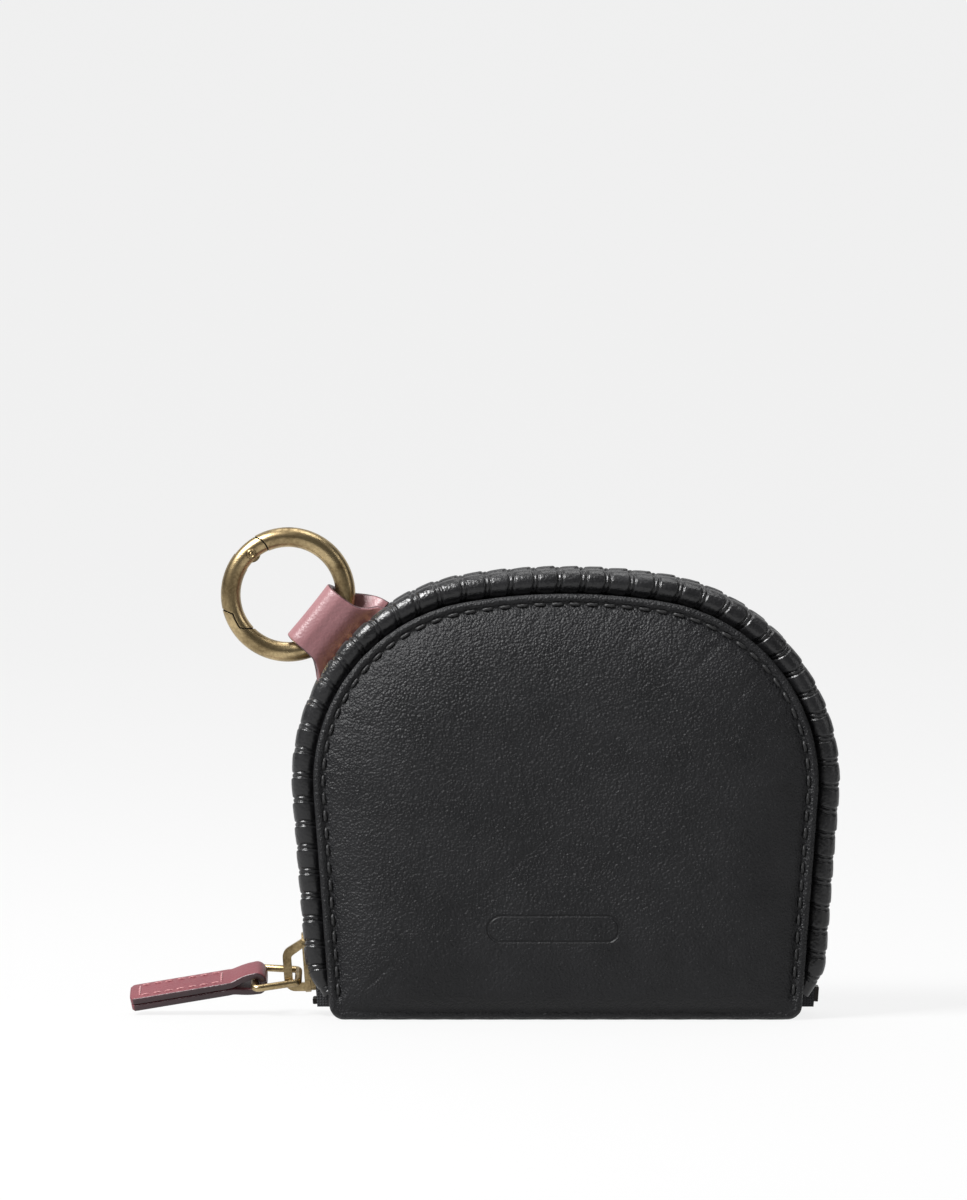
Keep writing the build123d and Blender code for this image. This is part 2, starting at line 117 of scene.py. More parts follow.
# Unevenness of the panels: height, size and seed.
SWELLS = ((0.08, 8.0, 3.0), (0.012, 2.4, 9.0))

# The flat spine: half width, how much its ends narrow, half thickness and middle height.
SPINE_WIDE = 10.6
SPINE_NARROWING = 1.0
SPINE_THICK = 0.78
SPINE_ROUND = 0.7
SPINE_Z = 0.82
SPINE_DIP = 0.12
SPINE_ROWS = 60

# Piping sleeves.
PIPING_Y = 6.9
PIPING_R = 2.6
HOOK_Z = 12.5
HOOK_R = 15.0
HOOK_TURN = 30.0
WRAP_PITCH = 4.8
WRAP_STRIP = 0.95
BAND_SLOPE = 0.20
BAND_CREST = 0.06
STRIP_LEVEL = -0.02
FOLD_LEVEL = 0.10
CREASE = (0.34, 0.19)
SLEEVE_STEP = 0.16
SLEEVE_COLUMNS = 32
SLEEVE_IN = 0.3
END_NARROWING = 0.35
END_REACH = 7
SLANT_DEPTH = 0.75
SLANT_OUT = 0.35

# Loop tab, from the ring's centre towards the purse.
RING_CENTRE = (-55.964, 4.0, 84.739)
TAB_IN = (0.777146, 0.0, -0.62932)
TAB_ACROSS = (0.62932, 0.0, 0.777146)
TAB_T = 1.3
TAB_ROUND = 0.42
TAB_BOW = 0.12
TAB_ROWS = 90
EDGE_PAINT = 0.22
LONG_SIDE = 2

# The gate's pivot in the ring.
PIVOT = (-63.3212, 4.0, 92.9971)
RING_R = 11.6
WIRE_R = 2.0
PIVOT_ARC = 3.3
LATCH_OUT = 195.3
LATCH_IN = 218.7
GATE_GAP = 0.28
# Dark strips in the gate's gaps, which are painted shade: their inset from the wire's inner and
# outer edges, and their clearance to the gap's walls and below the wire's faces.
GAP_SHADE_INSET = 0.15
GAP_SHADE_CLEAR = 0.03
GAP_SHADE_DEPTH_CLEAR = 0.3
ARC_SAMPLES = 900

# Zip puller, along its own length from the link's far bar.
PULLER_BAR = (-62.638, 0.158, 7.367)
PULLER_WIDE = (0.0, 0.93969, 0.34202)
PULLER_ROLL = 20.0
PULLER_DROP = 10.4
PULLER_L = 25.4
PULLER_T = 2.8
PULLER_LAYER = 0.68
PULLER_ROUND = 0.34
PULLER_BOW = 0.10
PULLER_OVERLAP = 0.6
PULLER_TIP = 1.0
BAR_BULGE = 0.95
BAR_REACH = 4.6
PULLER_ROW = 2.25
PULLER_STITCHES = 7
PULLER_FIRST = 6.6
PULLER_LAST = 2.0
PULLER_THREAD_R = 0.21

# Plain outline pressed into the front panel: middle, straight half length, radius, line.
MARK_AT = (-2.5, 18.6)
MARK_HALF = 10.5
MARK_R = 2.6
MARK_LINE = 0.34
MARK_CORE = 0.3
MARK_WEIGHT = -2.2

# Textures: leather's parts as shares of its grain, its patches, scratches in brass, fuzz as a
# share of a weave's pitch, a thread's twist, and a wave texture's scale for one band a unit.
WARP_SIZE = 2.6
FINE_SIZE = 0.45
CREASE_SIZE = 2.3
PATCH_SIZE = 9.0
SCRATCH_SIZE = 1.4
SCRATCH_STRETCH = (1, 1, 7)
SCRATCH_DEPTH = 0.02
DULLING = 0.16
FUZZ_SIZE = 0.7
THREAD_TWIST = 0.5
WAVE_SCALE = 0.314

# Camera: the field it covers at the purse, its distance and its height angle.
FIELD_H = 240.0
CAMERA_DISTANCE = 1500.0
CAMERA_ELEVATION = 2.6
CAMERA_AIM = (-16.5, -11.0, 84.3)
SENSOR_H = 24
FLOOR_GLOW = 0.83
WORLD_GLOW = 0.07

# ---------------------------------------------------------------- outlines

def arc(cx, cz, radius, start, end):
    """Points of an arc about (cx, cz), from one angle to another, in degrees."""
    count = max(2, int(abs(math.radians(end - start)) * radius / ARC_STEP))
    angle = np.radians(np.linspace(start, end, count))
    return np.stack([cx + radius * np.cos(angle), cz + radius * np.sin(angle)], 1)


def arch_top(spec, offset):
    """Right shoulder, top and left shoulder of an arch moved outwards by offset."""
    half, centre_z, shoulder_r, top_r, lean = spec
    cx = half - shoulder_r
    turn = math.degrees(math.acos(cx / (top_r - shoulder_r)))
    top_cz = centre_z - (top_r - shoulder_r) * math.sin(math.radians(turn))
    radius = shoulder_r + offset
    return [
        arc(cx, centre_z, radius, -lean, turn),
        arc(0, top_cz, top_r + offset, turn, 180 - turn),
        arc(-cx, centre_z, radius, 180 - turn, 180 + lean),
    ]


def foot_x(spec, offset, z):
    """Right side of an arch at height z, below its shoulder."""
    half, centre_z, shoulder_r, _, lean = spec
    a = math.radians(-lean)
    radius = shoulder_r + offset
    side_x = half - shoulder_r + radius * math.cos(a)
    side_z = centre_z + radius * math.sin(a)
    return side_x - (side_z - z) * math.tan(math.radians(lean))


def evenly(points, spacing, closed):
    """The polyline resampled to even steps: points, unit tangents and running lengths."""
    if closed:
        points = np.vstack([points, points[:1]])
    gaps = np.linalg.norm(np.diff(points, axis=0), axis=1)
    keep = np.concatenate([[True], gaps > 1e-6])
    points = points[keep]
    run = np.concatenate([[0], np.cumsum(np.linalg.norm(np.diff(points, axis=0), axis=1))])
    count = int(round(run[-1] / spacing))
    where = np.linspace(0, run[-1], count + 1)
    if closed:
        where = where[:-1]
    spots = np.stack([np.interp(where, run, points[:, i]) for i in range(2)], 1)
    ahead = np.stack([np.interp(where + TANGENT_REACH, run, points[:, i]) for i in range(2)], 1)
    behind = np.stack([np.interp(where - TANGENT_REACH, run, points[:, i]) for i in range(2)], 1)
    way = ahead - behind
    way /= np.linalg.norm(way, axis=1)[:, None]
    return spots, way, where


def panel_outline(low, corner, spacing):
    """Closed outline of a panel, anticlockwise, with rounded bottom corners."""
    lean = PANEL[4]
    cx = foot_x(PANEL, 0, low + corner) - corner / math.cos(math.radians(lean))
    right = arc(cx, low + corner, corner, -90, -lean)
    left = arc(-cx, low + corner, corner, 180 + lean, 270)
    return evenly(np.vstack([right, *arch_top(PANEL, 0), left]), spacing, True)


def open_arch(spec, offset, low, spacing):
    """Open arch from the right foot over the top to the left foot."""
    x = foot_x(spec, offset, low)
    points = np.vstack([[[x, low]], *arch_top(spec, offset), [[-x, low]]])
    return evenly(points, spacing, False)


def piping_line(spacing):
    """The piping's centre line, hooked inwards at both ends."""
    lean = PIPING[4]
    x = foot_x(PIPING, 0, HOOK_Z)
    cx = x - HOOK_R * math.cos(math.radians(lean))
    cz = HOOK_Z + HOOK_R * math.sin(math.radians(lean))
    right = arc(cx, cz, HOOK_R, -lean - HOOK_TURN, -lean)
    left = arc(-cx, cz, HOOK_R, 180 + lean, 180 + lean + HOOK_TURN)
    return evenly(np.vstack([right, *arch_top(PIPING, 0), left]), spacing, False)


def nearest(spots, line):
    """Distance from each point to a polyline's samples, and the nearest sample's index."""
    distance = np.empty(len(spots))
    index = np.empty(len(spots), int)
    for start in range(0, len(spots), NEAREST_BATCH):
        batch = slice(start, start + NEAREST_BATCH)
        gap = np.linalg.norm(spots[batch, None, :] - line[None, :, :], axis=2)
        index[batch] = gap.argmin(1)
        distance[batch] = gap.min(1)
    return distance, index


def smooth(value, low, high):
    """0 below low, 1 above high, and a soft step between."""
    t = np.clip((value - low) / (high - low), 0, 1)
    return t * t * (3 - 2 * t)


def climb(distance, start, reach):
    """0 up to a start, then rising towards 1 over a reach."""
    return 1 - np.exp(-np.clip(distance - start, 0, None) / reach)


def hill(distance, width):
    """1 at no distance, falling to 0 over a width."""
    return np.exp(-((distance / width) ** 2))


# ---------------------------------------------------------------- meshes

def new_piece(name, verts, faces, materials, face_material=None):
    """A smooth-shaded mesh object from points in millimetres."""
    mesh = bpy.data.meshes.new(name)
    mesh.from_pydata([tuple(c * MM for c in v) for v in verts], [], faces)
    for material in materials:
        mesh.materials.append(material)
    if face_material is not None:
        mesh.polygons.foreach_set("material_index", face_material)
    mesh.polygons.foreach_set("use_smooth", [True] * len(mesh.polygons))
    mesh.validate()
    mesh.update()
    obj = bpy.data.objects.new(name, mesh)
    bpy.context.scene.collection.objects.link(obj)
    return obj


def face_outwards(obj):
    """Turns every face of a closed mesh to the outside."""
    work = bmesh.new()
    work.from_mesh(obj.data)
    bmesh.ops.recalc_face_normals(work, faces=work.faces)
    work.to_mesh(obj.data)
    work.free()


def closed_piece(name, verts, faces, materials, face_material=None):
    """A new piece whose faces are turned outwards."""
    piece = new_piece(name, verts, faces, materials, face_material)
    face_outwards(piece)
    return piece


def grid_faces(rows, columns, closed=True, start=0):
    """Quads joining rings of points that are stored one after another."""
    faces = []
    last = columns if closed else columns - 1
    for row in range(rows - 1):
        for column in range(last):
            a = start + row * columns + column
            b = start + row * columns + (column + 1) % columns
            faces.append((a, b, b + columns, a + columns))
    return faces


def rim_pairs(start, columns):
    """Each point of a closed row with the next one."""
    return [(start + i, start + (i + 1) % columns) for i in range(columns)]


def loft(rings):
    """Points and faces of a tube through closed rings, with fan caps."""
    columns = len(rings[0])
    verts = [tuple(p) for ring in rings for p in ring]
    faces = grid_faces(len(rings), columns)
    for ring, flip in ((0, True), (len(rings) - 1, False)):
        middle = len(verts)
        verts.append(tuple(np.mean(rings[ring], axis=0)))
        for a, b in rim_pairs(ring * columns, columns):
            faces.append((b, a, middle) if flip else (a, b, middle))
    return verts, faces


def fan(start, columns, hub):
    """Triangles from a closed row of points to a hub."""
    return [(a, b, hub) for a, b in rim_pairs(start, columns)]


def merge(parts):
    """Several (points, faces) as one."""
    verts, faces = [], []
    for more, quads in parts:
        base = len(verts)
        verts.extend(more)
        faces.extend(tuple(base + i for i in face) for face in quads)
    return verts, faces


def rounded_section(half_w, half_t, radius, count=4):
    """A rounded rectangle as (across, through) points, anticlockwise."""
    points = []
    for sx, sy, start in ((1, 1, 0), (-1, 1, 90), (-1, -1, 180), (1, -1, 270)):
        for k in range(count + 1):
            a = math.radians(start + 90 * k / count)
            points.append((sx * (half_w - radius) + radius * math.cos(a),
                           sy * (half_t - radius) + radius * math.sin(a)))
    return points


def dense_section(half_w, half_t, radius, steps):
    """A rounded rectangle whose long sides are cut into steps."""
    outline = rounded_section(half_w, half_t, radius, 3)
    points = []
    for i, (across, through) in enumerate(outline):
        points.append((across, through))
        span = outline[(i + 1) % len(outline)][0] - across
        if abs(span) > LONG_SIDE:
            points += [(across + span * k / steps, through) for k in range(1, steps)]
    return points


# ---------------------------------------------------------------- materials

class Look:
    """A principled material being built. Sizes of its textures are in millimetres."""

    def __init__(self, name, colour, roughness, metallic=0.0, specular=0.5):
        self.material = bpy.data.materials.new(name)
        self.material.use_nodes = True
        self.nodes = self.material.node_tree.nodes
        self.links = self.material.node_tree.links
        self.sockets = self.nodes["Principled BSDF"].inputs
        self.sockets["Base Color"].default_value = (*colour, 1)
        self.sockets["Roughness"].default_value = roughness
        self.sockets["Metallic"].default_value = metallic
        self.sockets["Specular IOR Level"].default_value = specular
        self.place = self.nodes.new("ShaderNodeTexCoord").outputs["Object"]

    def noise(self, size, detail=3.0, distortion=0.0, place=None):
        """Noise with features of a size."""
        node = self.nodes.new("ShaderNodeTexNoise")
        node.inputs["Scale"].default_value = 1 / (size * MM)
        node.inputs["Detail"].default_value = detail
        node.inputs["Distortion"].default_value = distortion
        self.links.new(place or self.place, node.inputs["Vector"])
        return node.outputs["Fac"]

    def cells(self, size, feature="F1"):
        """Pebbles of a size."""
        node = self.nodes.new("ShaderNodeTexVoronoi")
        node.feature = feature
        node.inputs["Scale"].default_value = 1 / (size * MM)
        self.links.new(self.place, node.inputs["Vector"])
        return node.outputs["Distance"]

    def bands(self, pitch, direction, distortion=0.0):
        """Stripes at a pitch."""
        node = self.nodes.new("ShaderNodeTexWave")
        node.bands_direction = direction
        node.inputs["Scale"].default_value = WAVE_SCALE / (pitch * MM)
        node.inputs["Distortion"].default_value = distortion
        self.links.new(self.place, node.inputs["Vector"])
        return node.outputs["Fac"]

    def calc(self, operation, a, b=0):
        """A sum on fields or numbers."""
        node = self.nodes.new("ShaderNodeMath")
        node.operation = operation
        for socket, value in zip(node.inputs, (a, b)):
            if isinstance(value, (int, float)):
                socket.default_value = value
            else:
                self.links.new(value, socket)
        return node.outputs[0]

    def mix(self, *fields):
        """The weighted sum of (field, weight) pairs."""
        total = None
        for field, weight in fields:
            part = self.calc("MULTIPLY", field, weight)
            total = part if total is None else self.calc("ADD", total, part)
        return total

    def ramp(self, socket, factor, *stops):
        """Drives a socket from a colour ramp of (position, colour) stops."""
        node = self.nodes.new("ShaderNodeValToRGB")
        elements = node.color_ramp.elements
        while len(elements) < len(stops):
            elements.new(0.5)
        for element, (position, colour) in zip(elements, stops):
            element.position = position
            element.color = (*colour, 1)
        self.links.new(factor, node.inputs["Fac"])
        self.links.new(node.outputs["Color"], self.sockets[socket])

    def bump(self, depth, *fields):
        """One bump from (field, weight) pairs."""
        node = self.nodes.new("ShaderNodeBump")
        node.inputs["Strength"].default_value = 1.0
        node.inputs["Distance"].default_value = depth * MM
        self.links.new(self.mix(*fields), node.inputs["Height"])
        self.links.new(node.outputs["Normal"], self.sockets["Normal"])


def grey(value):
    """A number as a colour, for a ramp that drives a number."""
    return (value, value, value)


def pressed_outline(look):
    """1 along a plain blind-pressed outline low on the front panel, and 0 elsewhere."""
    split = look.nodes.new("ShaderNodeSeparateXYZ")
    look.links.new(look.place, split.inputs[0])
    aside = look.calc("SUBTRACT", split.outputs[0], MARK_AT[0] * MM)
    aside = look.calc("SUBTRACT", look.calc("ABSOLUTE", aside), MARK_HALF * MM)
    aside = look.calc("MAXIMUM", aside)
    above = look.calc("SUBTRACT", split.outputs[2], MARK_AT[1] * MM)
    squares = look.calc("ADD", look.calc("MULTIPLY", aside, aside),
                        look.calc("MULTIPLY", above, above))
    off_line = look.calc("SUBTRACT", look.calc("SQRT", squares), MARK_R * MM)
    near = look.nodes.new("ShaderNodeMapRange")
    near.interpolation_type = "SMOOTHSTEP"
    near.inputs["From Min"].default_value = MARK_LINE * MM
    near.inputs["From Max"].default_value = MARK_CORE * MARK_LINE * MM
    look.links.new(look.calc("ABSOLUTE", off_line), near.inputs["Value"])
    return near.outputs[0]


def leather(name, dark, light, roughness, grain, depth, specular=0.5, pressed=False):
    """Pebbled leather with worn, slightly uneven colour and gloss."""
    look = Look(name, dark, roughness[0], specular=specular)
    warp = look.noise(grain * WARP_SIZE, 2.0, 0.4)
    pebble = look.cells(grain)
    fine = look.noise(grain * FINE_SIZE)
    crease = look.cells(grain * CREASE_SIZE, "DISTANCE_TO_EDGE")
    shade = look.mix((look.noise(PATCH_SIZE), 0.7), (fine, 0.3))
    look.ramp("Base Color", shade, (0.3, dark), (0.72, light))
    look.ramp("Roughness", shade, (0.3, grey(roughness[0])), (0.7, grey(roughness[1])))
    fields = [(pebble, -1.0), (crease, 0.7), (fine, 0.7), (warp, 0.5)]
    if pressed:
        fields.append((pressed_outline(look), MARK_WEIGHT))
    look.bump(depth, *fields)
    return look.material


def brass(name, bright, dark, roughness, patina=6.0):
    """Antique brass: pale worn metal with brown patina and fine scratches."""
    look = Look(name, bright, roughness, metallic=1.0)
    speck = look.noise(0.5, 2.0)
    shade = look.mix((look.noise(patina, 5.0, 0.6), 0.75), (speck, 0.25))
    middle = tuple((a + b) / 2 for a, b in zip(bright, dark))
    look.ramp("Base Color", shade, (0.32, dark), (0.5, middle), (0.66, bright))
    look.ramp("Roughness", shade, (0.3, grey(roughness + DULLING)), (0.7, grey(roughness)))
    stretched = look.nodes.new("ShaderNodeMapping")
    stretched.inputs["Scale"].default_value = SCRATCH_STRETCH
    look.links.new(look.place, stretched.inputs["Vector"])
    scratch = look.noise(SCRATCH_SIZE, 4.0, place=stretched.outputs["Vector"])
    look.bump(SCRATCH_DEPTH, (scratch, 1.0), (speck, 0.5))
    return look.material


def woven(name, dark, light, pitch, depth):
    """Plain weave in three directions, for tape and lining."""
    look = Look(name, dark, 0.8, specular=0.3)
    look.sockets["Sheen Weight"].default_value = 0.15
    warp, through, weft = (look.bands(pitch, axis, 0.4) for axis in "XYZ")
    cloth = look.calc("ADD", look.calc("MULTIPLY", warp, weft),
                      look.calc("MULTIPLY", through, 0.4))
    fuzz = look.noise(pitch * FUZZ_SIZE)
    look.ramp("Base Color", look.mix((cloth, 0.6), (fuzz, 0.5)), (0.2, dark), (0.85, light))
    look.bump(depth, (cloth, 1.0), (fuzz, 0.5))
    return look.material


def thread(name, dark, light, sheen=0.3):
    """Twisted sewing thread."""
    look = Look(name, dark, 0.55, specular=0.4)
    look.sockets["Sheen Weight"].default_value = sheen
    twist = look.bands(THREAD_TWIST, "DIAGONAL")
    look.ramp("Base Color", twist, (0.1, dark), (0.8, light))
    look.bump(0.05, (twist, 1.0))
    return look.material


COVER_LOOK = {
    "dark": (0.0046, 0.0047, 0.0054),
    "light": (0.0100, 0.0101, 0.0112),
    "roughness": (0.36, 0.50),
    "grain": 0.52,
    "depth": 0.17,
    "specular": 0.24,
}
COVER = leather("black_cover_leather", **COVER_LOOK)
FRONT_COVER = leather("black_front_cover_leather", **COVER_LOOK, pressed=True)
SLEEVE = leather("black_piping_leather", (0.006, 0.006, 0.0065), (0.012, 0.012, 0.013),
                 (0.26, 0.38), 0.6, 0.05, specular=0.4)
ROSE = leather("rose_tab_leather", (0.185, 0.083, 0.090), (0.250, 0.122, 0.130),
               (0.36, 0.46), 0.5, 0.03, specular=0.45)
ROSE_EDGE = leather("rose_painted_edge", (0.05, 0.02, 0.024), (0.08, 0.034, 0.038),
                    (0.38, 0.5), 0.8, 0.04)
BURGUNDY = leather("burgundy_puller_leather", (0.105, 0.021, 0.029), (0.150, 0.038, 0.046),
                   (0.34, 0.46), 0.5, 0.035, specular=0.45)
BURGUNDY_EDGE = leather("burgundy_painted_edge", (0.020, 0.009, 0.011), (0.042, 0.018, 0.022),
                        (0.3, 0.42), 0.9, 0.05)
ANTIQUE = brass("antique_brass_finish", (0.52, 0.40, 0.22), (0.115, 0.078, 0.036), 0.25)
RIVET_BRASS = brass("rivet_brass_finish", (0.40, 0.30, 0.16), (0.07, 0.045, 0.02), 0.3, 1.5)
ZIP_BRASS = brass("zip_brass_finish", (0.50, 0.36, 0.17), (0.16, 0.10, 0.04), 0.3, 3.0)
# Black finish of the zip stops, and also the painted shade of the dark strips in the ring's gate
# gaps.
STOP_BLACK_AND_GAP_SHADE = brass("blackened_stop_and_painted_gap_shade", (0.035, 0.032, 0.030), (0.012, 0.011, 0.010), 0.4)
STEEL = brass("spring_steel_finish", (0.55, 0.55, 0.56), (0.3, 0.3, 0.31), 0.3, 3.0)
TAPE = woven("black_zip_tape", (0.006, 0.006, 0.007), (0.022, 0.022, 0.024), 0.55, 0.12)
LINING = woven("charcoal_lining", (0.03, 0.03, 0.033), (0.075, 0.073, 0.078), 0.4, 0.06)
BLACK_THREAD = thread("black_sewing_thread", (0.003, 0.003, 0.003), (0.012, 0.012, 0.013), 0.04)
PINK_THREAD = thread("rose_sewing_thread", (0.22, 0.07, 0.08), (0.36, 0.15, 0.155))


# ---------------------------------------------------------------- padded panels

def stitch_line():
    """The line that the topstitching follows, and each stitch's place along it."""
    spots, way, run = open_arch(PANEL, -STITCH_INSET, STITCH_FOOT, LINE_STEP)
    centres = (np.arange(STITCHES) + 0.5) * run[-1] / STITCHES
    return spots, way, run, centres


def to_arch_line(flat):
    """Distance from points (x, z) to the panel's arched edge."""
    arch, _, _ = open_arch(PANEL, 0, 0.0, LINE_STEP)
    return nearest(flat, arch)[0]


def panel_relief(flat):
    """How far a panel's face stands out at points (x, z), from its edge to its crown."""
    line, _, run, _ = stitch_line()
    to_stitch, index = nearest(flat, line)
    pitch = run[-1] / STITCHES
    phase = np.cos(2 * np.pi * run[index] / pitch)
    to_arch = to_arch_line(flat)
    edge, _, _ = panel_outline(0.0, PANEL_CORNER, LINE_STEP)
    to_edge, _ = nearest(flat, edge)
    rise = climb(to_arch, CROWN_START, CROWN_RISE) * climb(flat[:, 1], FOOT_START, FOOT_RISE)
    dome = CROWN * rise + DOME * smooth(to_edge, *DOME_SPAN)
    groove = GROOVE[0] * hill(to_stitch, GROOVE[1])
    dimple = DIMPLE[0] * (0.5 - 0.5 * phase) * hill(to_stitch, DIMPLE[1])
    inner = to_arch > STITCH_INSET
    offset = np.where(inner, to_stitch - PUCKER_INSIDE, to_stitch - PUCKER_OUTSIDE)
    pucker = PUCKER[0] * (0.5 + 0.5 * phase) * hill(offset, PUCKER[1])
    pucker *= np.where(inner, 1.0, PUCKER_FADE)
    lip = LIP[0] * hill(to_edge - LIP_AT, LIP[1])
    bottom = np.exp(-np.clip(flat[:, 1], 0, None) / BOTTOM_FADE)
    corner = np.where(bottom > 0.5, BOTTOM_CORNER, SIDE_CORNER)
    turned = np.clip(corner - to_edge, 0, None)
    roll = corner - np.sqrt(np.clip(corner**2 - turned**2, 0, None))
    return dome - groove - dimple + pucker + lip - roll


def wrinkle(point, size, seed):
    """Seeded noise at a point in millimetres."""
    return noise.noise(Vector((point[0] / size, point[1] / size + seed, point[2] / size)))


def face_rows(outline, normal):
    """Rows of points (x, z) over a panel's face, from its edge to near its middle."""
    rows = [outline - normal * inset for inset in EDGE_INSETS]
    inner = rows[-1]
    inwards = PANEL_MIDDLE - inner
    reach = np.linalg.norm(inwards, axis=1)[:, None]
    for step in FACE_STEPS:
        share = step / FACE_REACH
        rows.append(inner + inwards * np.minimum(step / reach, 1) * (1 - share)
                    + inwards * share * share)
    return rows


def panel_points(side):
    """Closed panel mesh: side is -1 for the front panel and 1 for the back one."""
    outline, way, _ = panel_outline(0.0, PANEL_CORNER, PANEL_STEP)
    normal = np.stack([way[:, 1], -way[:, 0]], 1)
    columns = len(outline)
    rows = face_rows(outline, normal)
    face = np.vstack(rows)
    verts = []
    for (x, z), height in zip(face, panel_relief(face)):
        swell = sum(high * wrinkle((x, 0, z), size, seed) for high, size, seed in SWELLS)
        height += swell * min(1.0, max(0.0, height / CROWN))
        verts.append((x, side * (PANEL_FACE + height), z))
    faces = grid_faces(len(rows), columns)
    last = (len(rows) - 1) * columns
    faces += fan(last, columns, len(verts))
    verts.append(tuple(np.mean(np.array(verts[last:last + columns]), axis=0)))
    base = len(verts)
    for inset, depth in ((0, PANEL_BACK + BACK_ROUND), (BACK_ROUND, PANEL_BACK),
                         (BACK_RIM, PANEL_BACK)):
        verts.extend((x, side * depth, z) for x, z in outline - normal * inset)
    faces += grid_faces(3, columns, start=base)
    faces += [(a, b, base + b, base + a) for a, b in rim_pairs(0, columns)]
    faces += fan(base + 2 * columns, columns, len(verts))
    verts.append((PANEL_MIDDLE[0], side * PANEL_BACK, PANEL_MIDDLE[1]))
    return verts, faces


def held_points(verts):
    """Points of a panel that its stitches and folds hold still."""
    flat = np.array([(v[0], v[2]) for v in verts])
    face = np.abs(np.array([v[1] for v in verts])) > PANEL_FACE - HELD_MARGIN
    above = flat[:, 1] > FOLD_CUT + HELD_MARGIN
    return ~(face & (to_arch_line(flat) > CROWN_START) & above)


def add_cloth(trial):
    """Gives a panel the settings that its padding's push is simulated with."""
    modifier = trial.modifiers.new("cloth", "CLOTH")
    cloth = modifier.settings
    cloth.quality = CLOTH_QUALITY
    cloth.mass = CLOTH_MASS
    cloth.tension_stiffness = CLOTH_STIFFNESS
    cloth.compression_stiffness = CLOTH_STIFFNESS
    cloth.bending_stiffness = CLOTH_BENDING
    cloth.use_pressure = True
    cloth.uniform_pressure_force = PAD_PRESSURE
    cloth.vertex_group_mass = "held"
    cloth.effector_weights.gravity = 0
    modifier.point_cache.frame_start = 1
    modifier.point_cache.frame_end = SWELL_FRAMES


def cloth_swell(verts, faces):
    """Simulates the padding's push on a panel: how far each point moves, in millimetres."""
    scene = bpy.context.scene
    trial = closed_piece("trial", verts, faces, [])
    group = trial.vertex_groups.new(name="held")
    group.add([int(i) for i in np.flatnonzero(held_points(verts))], 1.0, "REPLACE")
    add_cloth(trial)
    for frame_number in range(1, SWELL_FRAMES + 1):
        scene.frame_set(frame_number)
    swollen = trial.evaluated_get(bpy.context.evaluated_depsgraph_get())
    moved = np.array([v.co for v in swollen.data.vertices]) / MM - np.array(verts)
    bpy.data.objects.remove(trial)
    scene.frame_set(1)
    length = np.linalg.norm(moved, axis=1)[:, None]
    return moved * np.minimum(1, SWELL_CAP / np.maximum(length, TINY))


def cut_at(obj, height, name):
    """Splits a panel at a height; the lower part becomes a new object."""
    lower = obj.copy()
    lower.data = obj.data.copy()
    lower.name = name
    bpy.context.scene.collection.objects.link(lower)
    for piece, above in ((obj, True), (lower, False)):
        work = bmesh.new()
        work.from_mesh(piece.data)
        bmesh.ops.bisect_plane(
            work,
            geom=[*work.verts, *work.edges, *work.faces],
            plane_co=(0, 0, height * MM),
            plane_no=(0, 0, 1),
            clear_inner=above,
            clear_outer=not above,
        )
        work.to_mesh(piece.data)
        work.free()
    return lower


def make_panel(name, side, swell):
    """One panel, swollen as the simulation says; the back one mirrors the front one."""
    verts, faces = panel_points(side)
    if swell is not None:
        verts = [(v[0] + d[0], v[1] - side * d[1], v[2] + d[2]) for v, d in zip(verts, swell)]
    return closed_piece(name, verts, faces, [FRONT_COVER if side < 0 else COVER])


def make_threads(name, side):
    """Topstitches: short rounded threads that dip into the leather at both ends."""
    line, way, run, centres = stitch_line()
    parts = []
    for index, centre in enumerate(centres):
        rings = []
        jitter = 0.06 * wrinkle((index * 1.7, side, 0), 1.0, 5.0)
        for k in range(9):
            t = -1 + k / 4
            s = centre + t * THREAD_L / 2
            x, z = (np.interp(s, run, line[:, i]) for i in range(2))
            tx, tz = (np.interp(s, run, way[:, i]) for i in range(2))
            radius = THREAD_R * math.sqrt(max(0.05, 1 - t**4 * 0.75))
            lift = PANEL_FACE - THREAD_LIFT - THREAD_DIVE * t**4
            ring = []
            for m in range(8):
                a = 2 * math.pi * m / 8
                out = radius * math.cos(a) + jitter
                ring.append((
                    x + tz * out, side * (lift + radius * math.sin(a)), z - tx * out
                ))
            rings.append(ring)
        parts.append(loft(rings))
    verts, faces = merge(parts)
    return closed_piece(name, verts, faces, [BLACK_THREAD])


pad_swell = cloth_swell(*panel_points(-1))
front_panel = make_panel("front_panel", -1, pad_swell)
front_fold = cut_at(front_panel, FOLD_CUT, "front_fold")
back_panel = make_panel("back_panel", 1, pad_swell)
front_threads = make_threads("front_topstitching", -1)
back_threads = make_threads("back_topstitching", 1)


def make_spine():
    """The flat strip under the purse, joined to both panels."""
    rings = []
    for k in range(SPINE_ROWS + 1):
        x = -SPINE_HALF + 2 * SPINE_HALF * k / SPINE_ROWS
        half = SPINE_WIDE - SPINE_NARROWING * (1 - smooth(SPINE_HALF - abs(x), 0, 1.2))
        dip = SPINE_DIP * wrinkle((x, 0, 0), 6.0, 1.0)
        rings.append([(x, across, SPINE_Z + up + (dip if up > 0 else 0))
                      for across, up in rounded_section(half, SPINE_THICK, SPINE_ROUND)])
    return closed_piece("spine_leather", *loft(rings), [COVER])


spine = make_spine()


# ---------------------------------------------------------------- piping

def sleeve_height(u, pitch):
    """A sleeve's height at u along its pitch: a wide band, then a narrow tucked strip."""
    strip = pitch - WRAP_STRIP
    if u < strip:
        edge = min(u, strip - u)
        slope = BAND_SLOPE * (1 - u / strip)
        crest = BAND_CREST * math.sin(math.pi * u / strip)
    else:
        edge = min(u - strip, pitch - u)
        slope, crest = STRIP_LEVEL, 0.0
    return slope + crest + FOLD_LEVEL - CREASE[0] * math.exp(-((edge / CREASE[1]) ** 2))


